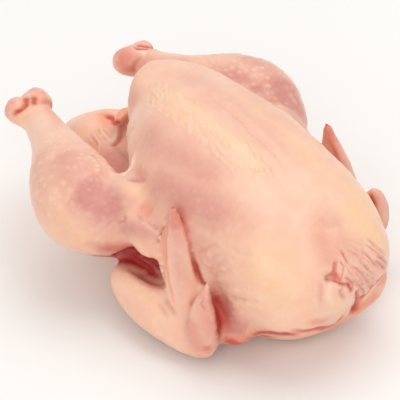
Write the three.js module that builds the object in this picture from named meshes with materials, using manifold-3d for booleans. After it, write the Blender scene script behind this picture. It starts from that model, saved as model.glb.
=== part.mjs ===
// A whole raw chicken, plucked and drawn, lying on its back with the breast up.
// Millimetres. +X points to the neck end, +Z up, and the bird's left side is at -Y.
// The origin is on the table, under the middle of the bird.
import * as THREE from "three";
import { mergeVertices } from "three/addons/utils/BufferGeometryUtils.js";
import Module from "manifold-3d";

const wasm = await Module();
wasm.setup();

// Driving places and sizes of the bird. A place of a leg or wing is given for the right side, at +Y.
const KEEL_TIP = { x: -84, y: 12, z: 92 }; // tail end of the breast, drawn a little to the right side
const BREAST_HALF_WIDTH = 58;
const BREAST_SIDE = -3; // the breast lies a little to the left side
const NECK_X = 116; // front of the breast
const HIP = { x: -70, y: 28, z: 42 };
const KNEE = { x: -8, y: 72, z: 60 };
const HOCK = { x: -144, y: 42, z: 73 }; // middle of the cut leg end
const CONDYLE_APART = 9; // from the middle of the hock joint to each of its two knobs
const RIGHT_LEG_LIFT = 3; // the right leg is drawn up and spread a little more than the left one
const CONDYLE_RADIUS = 10;
const SHOULDER = { x: 80, y: 50, z: 20 };
const ELBOW = { x: -10, y: 72, z: 26 };
const WRIST = { x: 60, y: 70, z: 11 };
const HAND_TIP = { x: 26, y: 63, z: 96 };
const THUMB_TIP = { x: 63, y: 68, z: 63 };
const RIGHT_WING_LIFT = 12; // the right wing is folded a little higher than the left one
const WING_SPREAD = 0.1; // how far a lifted wing also goes out, for each millimetre of lift
const LEFT_HAND_TURN = 0.5; // how far the flat of the hand turns from the side to the neck end
const RIGHT_HAND_TURN = -0.4;
const TAIL_TIP = { x: -152, z: 28 };
const VENT = { x: -104, z: 63 }; // mouth of the body cavity, between the breast and the tail
const VENT_HALF_WIDTH = 20;
const VENT_HALF_HEIGHT = 11;
const CAVITY_LENGTH = 56;
const NECK_PIT = { x: 104, y: -17, z: 58 };

// One station of a lobe: a place on its spine and the section there. "wide" is half the width across,
// "over" the reach on the facing side and "under" the reach on the other side.
const station = (x, y, z, wide, over = wide, under = over) => ({
  place: new THREE.Vector3(x, y, z),
  reach: new THREE.Vector3(wide, over, under),
});

// A rounded section of power 2 is an ellipse, and a higher power makes it squarer.
const bulge = (value, power) => Math.sign(value) * Math.abs(value) ** (2 / power);

// A lobe of flesh is a row of rings along a smooth spine, closed to a point at both ends.
// "blunt" is the power of the end domes: 2 is an ellipsoid, and more is blunter.
function lobe(stations, { facing = [0, 0, 1], blunt = 2.2, square = 2, rings = 14, sides = 20 } = {}) {
  const spine = new THREE.CatmullRomCurve3(stations.map((s) => s.place), false, "catmullrom");
  const reaches = new THREE.CatmullRomCurve3(stations.map((s) => s.reach), false, "catmullrom");
  const face = new THREE.Vector3(...facing);
  const corners = [spine.getPoint(0)];
  for (let k = 1; k < rings; k++) {
    const t = (1 - Math.cos((Math.PI * k) / rings)) / 2;
    const dome = (1 - Math.abs(2 * t - 1) ** blunt) ** (1 / blunt);
    const along = spine.getTangent(t);
    const across = new THREE.Vector3().crossVectors(along, face).normalize();
    const outward = new THREE.Vector3().crossVectors(across, along);
    const [wide, over, under] = reaches.getPoint(t).multiplyScalar(dome).toArray();
    for (let j = 0; j < sides; j++) {
      const angle = (2 * Math.PI * j) / sides;
      const rise = bulge(Math.sin(angle), square);
      const corner = spine.getPoint(t).addScaledVector(across, wide * bulge(Math.cos(angle), square));
      corners.push(corner.addScaledVector(outward, rise * (rise > 0 ? over : under)));
    }
  }
  corners.push(spine.getPoint(1));

  const faces = [];
  const at = (k, j) => 1 + (k - 1) * sides + (j % sides);
  const last = corners.length - 1;
  for (let j = 0; j < sides; j++) {
    faces.push(0, at(1, j), at(1, j + 1));
    for (let k = 1; k < rings - 1; k++) {
      faces.push(at(k, j), at(k + 1, j), at(k, j + 1));
      faces.push(at(k, j + 1), at(k + 1, j), at(k + 1, j + 1));
    }
    faces.push(at(rings - 1, j), last, at(rings - 1, j + 1));
  }
  const geometry = new THREE.BufferGeometry().setFromPoints(corners);
  geometry.setIndex(faces);
  return geometry;
}

// The breast stands over the ribs and the back. Its tail end is narrow and high, and ends in a square prow.
function torso() {
  const breast = lobe(
    [
      station(KEEL_TIP.x, KEEL_TIP.y, KEEL_TIP.z, 22, 20, 20),
      station(-66, 13, 85, 30, 32, 36),
      station(-42, 8, 76, 44, 46, 46),
      station(-4, -1, 69, BREAST_HALF_WIDTH, 51, 50),
      station(30, BREAST_SIDE, 66, BREAST_HALF_WIDTH, 49, 48),
      station(64, BREAST_SIDE, 60, 57, 43, 44),
      station(94, BREAST_SIDE, 51, 52, 36, 40),
      station(NECK_X, -2, 42, 46, 28, 32),
    ],
    { blunt: 5, square: 2.4, rings: 26, sides: 36 },
  );
  const prow = lobe(
    [
      station(KEEL_TIP.x, 5, 93, 15, 18, 22),
      station(-62, 12, 92, 26, 23, 28),
      station(-40, 11, 87, 37, 31, 34),
      station(-6, 1, 72, 48, 45, 44),
    ],
    { blunt: 9, square: 2.6, rings: 14, sides: 24 },
  );
  const back = lobe(
    [
      station(-106, 0, 42, 34, 20, 28),
      station(-58, 0, 40, 46, 30, 42),
      station(0, 0, 40, 56, 34, 44),
      station(60, 0, 38, 56, 30, 42),
      station(104, 0, 30, 46, 22, 34),
    ],
    { blunt: 3.4, rings: 14, sides: 28 },
  );
  const tail = lobe(
    [
      station(-70, 0, 46, 30, 22, 26),
      station(-114, 0, 41, 25, 17, 20),
      station(TAIL_TIP.x, 0, TAIL_TIP.z, 15, 10),
    ],
    { rings: 10, sides: 18 },
  );
  return [breast, prow, back, tail];
}

// The thigh runs from the hip out to the knee, and the drumstick goes back from there to the hock.
// The flank is the skin between the thigh and the breast.
function leg(side, lift) {
  const hock = new THREE.Vector3(HOCK.x + lift, side * (HOCK.y + lift), HOCK.z);
  const apart = CONDYLE_APART - lift / 2;
  const thigh = lobe(
    [
      station(HIP.x, side * HIP.y, HIP.z, 28, 26, 24),
      station(-38, side * 56, 51 + lift, 29, 27, 26),
      station(-6, side * 61, 54 + lift, 19, 18),
    ],
    { blunt: 2.4, rings: 11, sides: 18 },
  );
  const drumstick = lobe(
    [
      station(KNEE.x, side * KNEE.y, KNEE.z + lift, 17),
      station(-40, side * 76, 61 + lift, 28),
      station(-62, side * 70, 67 + lift, 26),
      station(-90, side * 57, 69 + lift, 17),
      station(-114, side * 48, 70 + lift, 12.5),
      station(hock.x, hock.y, hock.z, 13, 11),
    ],
    { facing: [0, side, 0.4], blunt: 3.2, rings: 18, sides: 18 },
  );
  const flank = lobe(
    [
      station(-58, side * 38, 58, 14, 12),
      station(-26, side * 50, 50, 20, 17),
      station(12, side * 55, 44, 14, 12),
    ],
    { rings: 9, sides: 14 },
  );
  const condyles = [-1, 1].map((end) =>
    lobe(
      [
        station(hock.x + 18, hock.y + end * 5, hock.z - 2, 8),
        station(hock.x - 3, hock.y + end * apart, hock.z, CONDYLE_RADIUS),
      ],
      { rings: 6, sides: 10 },
    ),
  );
  return [thigh, drumstick, flank, ...condyles];
}

// The wing is folded: the upper arm goes back to the elbow, the forearm forward to the wrist,
// and the hand, with its thin web and the thumb, stands up against the breast.
function wing(side, lift) {
  const wrist = WRIST.z + lift;
  const out = lift * WING_SPREAD;
  const turn = side < 0 ? LEFT_HAND_TURN : RIGHT_HAND_TURN;
  const upperArm = lobe(
    [
      station(SHOULDER.x, side * SHOULDER.y, SHOULDER.z, 22, 20),
      station(36, side * 58, 33, 18, 16),
      station(8, side * 62, 34, 17, 15),
      station(ELBOW.x, side * (ELBOW.y - 4), ELBOW.z, 12, 11),
    ],
    { facing: [0, side, 0.6], rings: 11, sides: 16 },
  );
  const forearm = lobe(
    [
      station(ELBOW.x - 7, side * ELBOW.y, ELBOW.z, 13, 12),
      station(22, side * 75, 22 + lift / 2, 15, 13),
      station(WRIST.x + 8, side * (WRIST.y - 1 + out), wrist, 12, 11),
    ],
    { facing: [0.2, side, 0.7], blunt: 2.8, rings: 12, sides: 16 },
  );
  const hand = lobe(
    [
      station(WRIST.x + 2, side * (WRIST.y + out), wrist - 4, 12, 8),
      station(43, side * (68 + out), 34 + lift / 2, 11, 8),
      station(34, side * (66 + out), 66, 8.5, 6),
      station(HAND_TIP.x, side * (HAND_TIP.y + out), HAND_TIP.z - out, 4, 3),
    ],
    { facing: [turn, side, 0.2], blunt: 2.6, rings: 12, sides: 14 },
  );
  const web = lobe(
    [
      station(46, side * (67 + out), 24 + lift, 8, 3),
      station(27, side * (66 + out), 52, 9, 3),
      station(HAND_TIP.x - 2, side * (HAND_TIP.y + out), HAND_TIP.z - 4 - out, 4, 2),
    ],
    { facing: [0.2, side, 0.2], rings: 8, sides: 10 },
  );
  const thumb = lobe(
    [
      station(WRIST.x + 3, side * (WRIST.y + out), wrist, 10, 9),
      station(62, side * (71 + out), 37 + lift, 8, 7),
      station(THUMB_TIP.x, side * (THUMB_TIP.y + out), THUMB_TIP.z - lift / 2, 3),
    ],
    { facing: [0.7, side, 0], rings: 9, sides: 12 },
  );
  return [upperArm, forearm, hand, web, thumb];
}

// The skin of the neck is tucked in under the breast as a soft roll.
function neckRoll() {
  return lobe(
    [
      station(56, -40, 15, 11, 10),
      station(75, -25, 11, 11, 8),
      station(86, -2, 10, 10, 8),
      station(93, 21, 16, 10, 8),
      station(100, 35, 27, 10, 8),
      station(106, 38, 41, 6, 5),
    ],
    { rings: 14, sides: 12 },
  );
}

// Hollows cut from the body: the drawn cavity, and the pit and the crease in front of the breast.
function hollows() {
  const cavity = lobe(
    [
      station(VENT.x - 18, 0, VENT.z + 4, VENT_HALF_WIDTH, VENT_HALF_HEIGHT),
      station(VENT.x + CAVITY_LENGTH / 2, 0, VENT.z - 1, VENT_HALF_WIDTH, VENT_HALF_HEIGHT),
      station(VENT.x + CAVITY_LENGTH, 0, VENT.z - 2, VENT_HALF_WIDTH, VENT_HALF_HEIGHT),
    ],
    { blunt: 4, rings: 10, sides: 18 },
  );
  const pit = lobe(
    [
      station(NECK_PIT.x + 20, NECK_PIT.y - 3, NECK_PIT.z + 16, 8, 7),
      station(NECK_PIT.x, NECK_PIT.y, NECK_PIT.z, 5, 4),
    ],
    { rings: 6, sides: 12 },
  );
  const crease = lobe(
    [
      station(NECK_X - 1, -16, 64, 4, 3),
      station(NECK_X, 3, 49, 5, 3),
      station(NECK_X - 4, 16, 20, 7, 4),
    ],
    { facing: [0, 1, 0.5], rings: 8, sides: 10 },
  );
  return [cavity, pit, crease];
}

function solid(geometry) {
  const merged = mergeVertices(geometry, 1e-3);
  return new wasm.Manifold(
    new wasm.Mesh({
      numProp: 3,
      vertProperties: merged.attributes.position.array,
      triVerts: new Uint32Array(merged.index.array),
    }),
  );
}

const legs = [leg(-1, 0), leg(1, RIGHT_LEG_LIFT)];
const wings = [wing(-1, 0), wing(1, RIGHT_WING_LIFT)];
const flesh = [torso(), neckRoll(), legs, wings].flat(2);
const floor = new THREE.BoxGeometry(600, 600, 200).translate(0, 0, -100);
floor.deleteAttribute("normal");
floor.deleteAttribute("uv");
const bird = hollows()
  .concat(floor)
  .map(solid)
  .reduce((whole, piece) => whole.subtract(piece), wasm.Manifold.union(flesh.map(solid)));

const made = bird.getMesh();
const skin = new THREE.BufferGeometry();
skin.setAttribute("position", new THREE.BufferAttribute(new Float32Array(made.vertProperties), 3));
skin.setIndex(new THREE.BufferAttribute(new Uint32Array(made.triVerts), 1));

const chicken = new THREE.Mesh(
  skin,
  new THREE.MeshStandardMaterial({ color: "#f2bfa3", roughness: 0.45, metalness: 0 }),
);
chicken.name = "chicken";

const part = new THREE.Group();
part.add(chicken);
export default part;
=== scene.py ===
# %% [markdown]
# # A whole raw chicken
# The bird is plucked, drawn and cut at the hocks. It lies on its back with the breast up.
# This lesson builds it in one skin: lobes of flesh that melt together, then folds, bumps and colours.
# All places are in millimetres on the bird: +X to the neck end, +Z up, the bird's left side at -Y.

# %% Load the frame
import math

import bpy
import numpy as np
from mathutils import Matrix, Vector, kdtree, noise


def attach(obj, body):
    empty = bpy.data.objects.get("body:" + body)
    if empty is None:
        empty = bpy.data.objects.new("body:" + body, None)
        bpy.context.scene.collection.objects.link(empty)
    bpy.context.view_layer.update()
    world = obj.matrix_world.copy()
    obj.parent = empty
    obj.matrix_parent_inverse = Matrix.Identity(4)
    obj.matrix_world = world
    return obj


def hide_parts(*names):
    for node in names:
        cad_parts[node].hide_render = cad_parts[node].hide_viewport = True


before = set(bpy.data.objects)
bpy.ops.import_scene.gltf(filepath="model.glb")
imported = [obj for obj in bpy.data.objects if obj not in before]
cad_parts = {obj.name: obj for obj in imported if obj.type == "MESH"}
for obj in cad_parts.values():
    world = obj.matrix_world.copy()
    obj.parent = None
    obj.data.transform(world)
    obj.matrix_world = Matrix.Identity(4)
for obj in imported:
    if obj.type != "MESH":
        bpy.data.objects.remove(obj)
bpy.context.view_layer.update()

MM = 0.001

# %% [markdown]
# ## Lobes of flesh
# Under the skin a bird is a few long muscles: the breast, thighs, drumsticks and the parts of the wings.
# Each is a lobe: a smooth spine with a rounded section that swells and shrinks along it.
# They could be sculpted by hand, but a list of named places keeps to the sizes of the CAD solid.

# %% Places that drive the whole bird
KEEL_TIP = (-84, 12, 92)
HIP = (-70, 28, 42)
KNEE = (-8, 72, 60)
HOCK = (-144, 42, 73)
SHOULDER = (80, 50, 20)
ELBOW = (-10, 72, 26)
WRIST = (60, 70, 11)
HAND_TIP = (26, 63, 96)
THUMB_TIP = (63, 68, 63)
TAIL_TIP = (-152, 0, 28)
VENT = (-104, 0, 63)
NECK_PIT = (104, -17, 58)
NECK_X = 116  # where the skin of the neck end begins
RIGHT_LEG_LIFT = 3  # how much higher the right leg lies
RIGHT_WING_LIFT = 12  # how much higher the right wing lies
WING_SPREAD = 0.1  # how far a lifted wing also goes out
LEFT_HAND_TURN = 0.5  # how far the flat of the hand turns from the side to the neck end
RIGHT_HAND_TURN = -0.4
print("hock to neck end", NECK_X - HOCK[0], "mm")

# %% [markdown]
# ## A smooth curve through places
# A muscle bends without corners, so its places are the knots of a curve that passes through each of them.
# A Bezier curve would need handles at each knot. A Catmull-Rom curve works them out from the next knots.


# %% A smooth curve
def curve(knots, t):
    """Catmull-Rom curve through the knots, at each t from 0 to 1."""
    knots = np.asarray(knots, float)
    padded = np.vstack([2 * knots[:1] - knots[1:2], knots, 2 * knots[-1:] - knots[-2:-1]])
    place = np.clip(t, 0, 1) * (len(knots) - 1)
    first = np.minimum(place.astype(int), len(knots) - 2)
    w = (place - first)[:, None]
    a, b, c, d = (padded[first + k] for k in range(4))
    return b + 0.5 * w * (c - a + w * (2 * a - 5 * b + 4 * c - d + w * (3 * (b - c) + d - a)))


print("a point on a curve", curve([(0, 0, 0), (10, 5, 0), (20, 0, 0)], np.array([0.25]))[0].round(2))

# %% [markdown]
# ## A field of distances
# Flesh has no sharp seams where a leg meets the body, and a boolean join of meshes would leave them.
# So each lobe is written on a grid of points as the distance to its surface, less than 0 inside it.
# Two such fields melt together with a soft minimum, and a hollow is cut with a soft maximum.

# %% The grid
STEP = 2.0  # mm between grid points, at most half of the thinnest web of skin
FAR = 15.0  # mm, distances beyond this are not needed
GRID_SPAN = ((-168, 136), (-116, 118), (-8, 134))  # mm, on X, Y and Z
axes = [np.arange(low, high, STEP) for low, high in GRID_SPAN]
shape = tuple(len(axis) for axis in axes)
print("grid points", shape, math.prod(shape))


# %% The distance to one lobe
SPINE_POINTS = 65
POINTS_AT_ONCE = 200000  # keeps the tables of distances small in memory
LEAST_SLOPE = 1e-4  # stands in for a slope of 0 at the middle of a lobe


def lobe(*rows, facing=(0, 0, 1), blunt=2.2, square=2.0):
    """Field of a lobe. A row is x, y, z, half width, reach on the facing side, reach on the other side."""
    rows = np.array([list(row) + [row[-1]] * (6 - len(row)) for row in rows], float)
    t = np.linspace(0, 1, SPINE_POINTS)
    spine = curve(rows[:, :3], t)
    slope = np.gradient(spine, t, axis=0)
    margin = FAR + rows[:, 3:].max()
    window = tuple(
        slice(*np.searchsorted(axis, (spine[:, k].min() - margin, spine[:, k].max() + margin)))
        for k, axis in enumerate(axes)
    )
    points = np.stack(np.meshgrid(*(axis[w] for axis, w in zip(axes, window)), indexing="ij"), -1)
    size, points = points.shape[:3], points.reshape(-1, 3)
    gauge = np.empty(len(points))
    for start in range(0, len(points), POINTS_AT_ONCE):
        part = slice(start, start + POINTS_AT_ONCE)
        gauge[part] = lobe_gauge(points[part], rows, t, spine, slope, facing, blunt, square)
    gauge = gauge.reshape(size)
    steep = np.sqrt(sum(g**2 for g in np.gradient(gauge, STEP)))
    field = np.full(shape, FAR)
    field[window] = np.clip((gauge - 1) / np.maximum(steep, LEAST_SLOPE), -FAR, FAR)
    return field


# %% How far out of a lobe a point is
PAST_END = 9  # a point beyond an end may run this many lengths past it
THINNEST = 0.5  # mm, the least half width of a lobe


def lobe_gauge(points, rows, t, spine, slope, facing, blunt, square):
    """1 on the surface of the lobe, less inside and more outside."""
    near = np.argmin((spine**2).sum(1) - 2 * points @ spine.T, axis=1)
    step = ((points - spine[near]) * slope[near]).sum(1) / (slope[near] ** 2).sum(1)
    between = 0.6 * t[1]  # just over half of the way to the next point of the spine
    low = np.where(near == 0, -PAST_END, -between)
    high = np.where(near == len(t) - 1, PAST_END, between)
    run = t[near] + np.clip(step, low, high)
    held = np.clip(run, 0, 1)
    off = points - curve(rows[:, :3], held)
    along = np.stack([np.interp(held, t, slope[:, k]) for k in range(3)], 1)
    along /= np.linalg.norm(along, axis=1)[:, None]
    across = np.cross(along, facing)
    across /= np.linalg.norm(across, axis=1)[:, None]
    outward = np.cross(across, along)
    wide, over, under = np.maximum(curve(rows[:, 3:], held), THINNEST).T
    u = np.abs((off * across).sum(1)) / wide
    v = (off * outward).sum(1)
    v = np.abs(v) / np.where(v > 0, over, under)
    rho = (u**square + v**square) ** (1 / square)
    return (rho**blunt + np.abs(2 * run - 1) ** blunt) ** (1 / blunt)


# %% Melt and carve
def melt(a, b, soft):
    """Both fields as one, rounded over soft mm where they meet."""
    h = np.clip(0.5 + 0.5 * (b - a) / soft, 0, 1)
    return b + (a - b) * h - soft * h * (1 - h)


def carve(a, b, soft):
    """Field a without b."""
    return -melt(-a, b, soft)


# %% [markdown]
# ## The torso
# The breast stands over the ribs and the back. Its tail end is narrow and high, its neck end broad.
# The tail is a soft cone of fat behind the back.
# One lobe could be all of it, but a lobe has the same sort of section along its whole length.
# So the breast has two: a broad one, and a squarer prow that makes the steep end over the cavity.

# %% Torso
breast = lobe(
    (*KEEL_TIP, 22, 20, 20), (-66, 13, 85, 30, 32, 36), (-42, 8, 76, 44, 46, 46), (-4, -1, 69, 58, 51, 50),
    (30, -3, 66, 58, 49, 48), (64, -3, 60, 57, 43, 44), (94, -3, 51, 52, 36, 40),
    (NECK_X, -2, 42, 46, 28, 32),
    blunt=5.0, square=2.4,
)
prow = lobe(
    (KEEL_TIP[0], 5, 93, 15, 18, 22), (-62, 12, 92, 26, 23, 28), (-40, 11, 87, 37, 31, 34),
    (-6, 1, 72, 48, 45, 44),
    blunt=9, square=2.6,
)
breast = melt(breast, prow, 4)
back = lobe(
    (-106, 0, 42, 34, 20, 28), (-58, 0, 40, 46, 30, 42), (0, 0, 40, 56, 34, 44),
    (60, 0, 38, 56, 30, 42), (104, 0, 30, 46, 22, 34), blunt=3.4,
)
tail = lobe((-70, 0, 46, 30, 22, 26), (-114, 0, 41, 25, 17, 20), (*TAIL_TIP, 15, 10))
body = melt(melt(breast, back, 10), tail, 8)


def litres(field):
    """The volume inside the field."""
    return round((field < 0).sum() * STEP**3 * 1e-6, 3)


print("litres of torso", litres(body))


# %% [markdown]
# ## Legs
# The thigh goes from the hip out to the knee, and the drumstick back from there to the hock.
# At the hock the foot was cut off through the joint, which leaves the two round knobs of the bone.
# The legs could be mirror copies, but a bird never lies even: one function makes both, and the right
# one is lifted a little. The groin is carved between the leg and the body, and the skin that hangs
# over it from the breast to the knee is melted on last, so that it closes the gap at the front.

# %% Legs
def leg(side, lift):
    """Thigh, drumstick, the skin in front of them and the two knobs of the hock."""
    hock = (HOCK[0] + lift, side * (HOCK[1] + lift), HOCK[2])
    thigh = lobe(
        (HIP[0], side * HIP[1], HIP[2], 28, 26, 24), (-38, side * 56, 51 + lift, 29, 27, 26),
        (-6, side * 61, 54 + lift, 19, 18), blunt=2.4,
    )
    drumstick = lobe(
        (KNEE[0], side * KNEE[1], KNEE[2] + lift, 17), (-40, side * 76, 61 + lift, 28),
        (-62, side * 70, 67 + lift, 26), (-90, side * 57, 69 + lift, 17), (-114, side * 48, 70 + lift, 12.5),
        (*hock, 13, 11), facing=(0, side, 0.4), blunt=3.2,
    )
    flank = lobe((-58, side * 38, 58, 14, 12), (-26, side * 50, 50, 20, 17), (12, side * 55, 44, 14, 12))
    whole = melt(melt(thigh, drumstick, 14), flank, 12)
    for end in (-1, 1):
        knob = lobe(
            (hock[0] + 18, hock[1] + end * 5, hock[2] - 2, 8),
            (hock[0] - 3, hock[1] + end * (9 - lift / 2), hock[2], 10),
        )
        whole = melt(whole, knob, 5)
    return whole


# %% Join the legs to the body
for side, lift in ((-1, 0), (1, RIGHT_LEG_LIFT)):
    body = melt(body, leg(side, lift), 5)
    groin = lobe(
        (-92, side * 22, 66, 13, 10), (-67, side * 31, 69, 17, 14 - lift),
        (-46, side * 43, 75, 12, 10 - lift),
        (-37, side * 50, 82, 5, 5),
    )
    body = carve(body, groin, 6)
    skin_fold = lobe(
        (-30, side * 54, 81, 8, 7), (-14, side * 64, 77, 10, 8), (6, side * 67, 62, 10, 8),
        (16, side * 69, 50, 7, 6),
        facing=(0, side, 1),
    )
    body = melt(body, skin_fold, 8)
print("litres with the legs", litres(body))


# %% [markdown]
# ## Wings
# The upper arm goes back to the elbow and the forearm forward to the wrist, low beside the body.
# The hand stands up against the breast like a blade, with a thin web of skin, and the thumb beside it.
# All of it could be one bent tube, but each bone has its own width, so each is a lobe.
# The arm melts widely into the flank. The hand, web and thumb melt only a little, and so stay thin.

# %% Wings
def wing(body, side, lift):
    """The body with a wing on that side."""
    wrist = WRIST[2] + lift
    out = lift * WING_SPREAD
    turn = LEFT_HAND_TURN if side < 0 else RIGHT_HAND_TURN
    upper_arm = lobe(
        (SHOULDER[0], side * SHOULDER[1], SHOULDER[2], 22, 20), (36, side * 58, 33, 18, 16),
        (8, side * 62, 34, 17, 15), (ELBOW[0], side * (ELBOW[1] - 4), ELBOW[2], 12, 11),
        facing=(0, side, 0.6),
    )
    forearm = lobe(
        (ELBOW[0] - 7, side * ELBOW[1], ELBOW[2], 13, 12), (22, side * 75, 22 + lift / 2, 15, 13),
        (WRIST[0] + 8, side * (WRIST[1] - 1 + out), wrist, 12, 11), facing=(0.2, side, 0.7), blunt=2.8,
    )
    hand = lobe(
        (WRIST[0] + 2, side * (WRIST[1] + out), wrist - 4, 12, 8),
        (43, side * (68 + out), 34 + lift / 2, 11, 8), (34, side * (66 + out), 66, 8.5, 6),
        (HAND_TIP[0], side * (HAND_TIP[1] + out), HAND_TIP[2] - out, 4, 3),
        facing=(turn, side, 0.2), blunt=2.6,
    )
    web = lobe(
        (46, side * (67 + out), 24 + lift, 8, 3), (27, side * (66 + out), 52, 9, 3),
        (HAND_TIP[0] - 2, side * (HAND_TIP[1] + out), HAND_TIP[2] - 4 - out, 4, 2), facing=(0.2, side, 0.2),
    )
    thumb = lobe(
        (WRIST[0] + 3, side * (WRIST[1] + out), wrist, 10, 9), (62, side * (71 + out), 37 + lift, 8, 7),
        (THUMB_TIP[0], side * (THUMB_TIP[1] + out), THUMB_TIP[2] - lift / 2, 3), facing=(0.7, side, 0),
    )
    palm = lobe(
        (50, side * (73 + out), 16 + lift, 8, 8), (62, side * (72 + out), 26 + lift, 9, 7),
        (63, side * (71 + out), 44 + lift, 6, 5),
        facing=(0.7, side, 0),
    )
    armpit = lobe(
        (-20, side * 72, 41, 7, 7), (2, side * 69, 43, 10, 9), (20, side * 69, 44, 9, 9),
        (34, side * 71, 41, 6, 5),
        facing=(0, side, 0.6),
    )
    thumb_gap = lobe(
        (55, side * 63, 60, 2.5, 4), (64, side * 66, 45, 5, 7), (72, side * 69, 31, 7, 10),
        (80, side * 68, 17, 8, 12),
        facing=(0, side, 0),
    )
    whole = melt(melt(body, upper_arm, 12), forearm, 4)
    whole = carve(carve(whole, armpit, 3), thumb_gap, 6)
    digits = melt(melt(melt(hand, web, 3), thumb, 3), palm, 8)
    return melt(whole, digits, 3)


# %% Join the wings to the body
for side, lift in ((-1, 0), (1, RIGHT_WING_LIFT)):
    body = wing(body, side, lift)
print("litres with the wings", litres(body))

# %% [markdown]
# ## Neck skin and hollows
# The skin of the cut neck is tucked in under the breast as a soft roll.
# The vent opens into the drawn cavity, and the neck end is drawn in to a small pit with a crease below it.
# Hollows could be pushed in later with strokes, but a stroke that goes deep stretches the mesh.
# So the deep ones are lobes too, carved out of the field, and the underside is carved flat at the floor.

# %% Neck roll and hollows
neck_roll = lobe(
    (56, -40, 15, 11, 10), (75, -25, 11, 11, 8), (86, -2, 10, 10, 8), (93, 21, 16, 10, 8),
    (100, 35, 27, 10, 8),
    (106, 38, 41, 6, 5),
)
body = melt(body, neck_roll, 2.5)
cavity = lobe(
    (VENT[0] - 18, 0, VENT[2] + 4, 20, 11), (VENT[0] + 28, 0, VENT[2] - 1, 20, 11),
    (VENT[0] + 56, 0, VENT[2] - 2, 20, 11), blunt=4,
)
pit = lobe(
    (NECK_PIT[0] + 20, NECK_PIT[1] - 5, NECK_PIT[2] + 19, 4, 3),
    (NECK_PIT[0] + 7, NECK_PIT[1] - 1, NECK_PIT[2] + 9, 4, 2.5),
)
crease = lobe(
    (NECK_X - 1, -16, 64, 2.4, 1.8), (NECK_X + 1, -6, 58, 2.4, 1.8), (NECK_X, 3, 49, 3, 2),
    (NECK_X - 1, 11, 32, 5, 3.2), (NECK_X - 4, 16, 20, 6, 4), facing=(0, 1, 0.5),
)
for hollow, soft in ((cavity, 5), (pit, 4), (crease, 3)):
    body = carve(body, hollow, soft)
vent_flap = lobe((-98, 14, 58, 6, 4), (-100, 6, 63, 7, 4), (-94, -4, 66, 6, 4), facing=(-1, 0, 0.6))
body = melt(body, vent_flap, 2)
under_floor = np.broadcast_to(np.clip(axes[2], -FAR, FAR), shape)
body = carve(body, under_floor, 3)
print("litres of the whole bird", litres(body))

# %% [markdown]
# ## From the field to a mesh
# Metaballs or a remesh could make the surface too, but they hide how, and the field is already here.
# A surface net puts one vertex in each grid cell that the surface crosses, and one quad across each
# grid edge that it crosses. The quads are even all over the bird, which later folds and bumps need.

# %% Vertices of the surface net
CORNERS = [(i, j, k) for i in (0, 1) for j in (0, 1) for k in (0, 1)]


def at_corner(array, corner):
    """The values at one corner of every grid cell."""
    return array[tuple(slice(low, low + n - 1) for low, n in zip(corner, array.shape))]


def net_vertices(field, inside):
    """The number of the vertex in each cell, or -1, and where each vertex is, in cells."""
    count = sum(at_corner(inside, corner).astype(np.int8) for corner in CORNERS)
    mixed = (count > 0) & (count < 8)
    number = np.full(mixed.shape, -1, np.int64)
    number[mixed] = np.arange(mixed.sum())
    total, hits = np.zeros((mixed.sum(), 3)), np.zeros(mixed.sum())
    for a in CORNERS:
        for axis in range(3):
            if a[axis] == 0:
                b = tuple(1 if k == axis else v for k, v in enumerate(a))
                fa, fb = at_corner(field, a)[mixed], at_corner(field, b)[mixed]
                cut = (fa < 0) != (fb < 0)
                place = np.tile(np.array(a, float), (len(fa), 1))
                place[:, axis] = fa / np.where(cut, fa - fb, 1)
                total += place * cut[:, None]
                hits += cut
    return number, np.argwhere(mixed) + total / hits[:, None]


# %% Quads of the surface net
def net_quads(inside, number):
    """One quad across each grid edge that the surface crosses, with its front outwards."""
    cells = number.shape
    quads = []
    for axis in range(3):
        b, c = [k for k in range(3) if k != axis]
        inner = [slice(1, n) for n in cells]
        inner[axis] = slice(0, cells[axis])
        start = inside[tuple(inner)]
        ahead = list(inner)
        ahead[axis] = slice(1, cells[axis] + 1)
        end = inside[tuple(ahead)]
        at = np.argwhere(start != end) + [0 if k == axis else 1 for k in range(3)]
        flip = start[start != end] == (axis == 1)
        ring = []
        for db, dc in ((0, 0), (1, 0), (1, 1), (0, 1)):
            cell = at.copy()
            cell[:, b] -= db
            cell[:, c] -= dc
            ring.append(number[tuple(cell.T)])
        ring = np.stack(ring, 1)
        ring[flip] = ring[flip][:, ::-1]
        quads.append(ring)
    return np.concatenate(quads)


inside = body < 0
number, cells = net_vertices(body, inside)
verts = cells * STEP + [axis[0] for axis in axes]
quads = net_quads(inside, number)
print("surface net", len(verts), "vertices", len(quads), "quads")

# %% [markdown]
# ## An even, smooth mesh
# The net still shows the grid's steps, which the tight skin of a bird doesn't have.
# Blender's Smooth modifier would even them out, but each round of it also shrinks thin wing tips.
# So each vertex goes to the mean of its neighbours, then back by a little more, which keeps the size.


# %% Even out the net
RELAX = 0.5  # the share of the way to the mean of the neighbours
RELAX_BACK = RELAX * 1.03  # the share of the way back


def relax(verts, faces, rounds):
    """Moves each vertex towards the mean of its neighbours, then back."""
    pairs = np.concatenate([np.stack([faces[:, k], faces[:, (k + 1) % 4]], 1) for k in range(4)])
    degree = np.bincount(pairs.ravel(), minlength=len(verts))
    for turn in range(rounds):
        for amount in (RELAX, -RELAX_BACK):
            mean = np.stack(
                [
                    np.bincount(pairs[:, 0], verts[pairs[:, 1], k], len(verts))
                    + np.bincount(pairs[:, 1], verts[pairs[:, 0], k], len(verts))
                    for k in range(3)
                ],
                1,
            )
            verts = verts + amount * (mean / degree[:, None] - verts)
    return verts


rough = verts
verts = relax(rough, quads, 6)
print("the net moved by up to", np.linalg.norm(verts - rough, axis=1).max().round(2), "mm")

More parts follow.
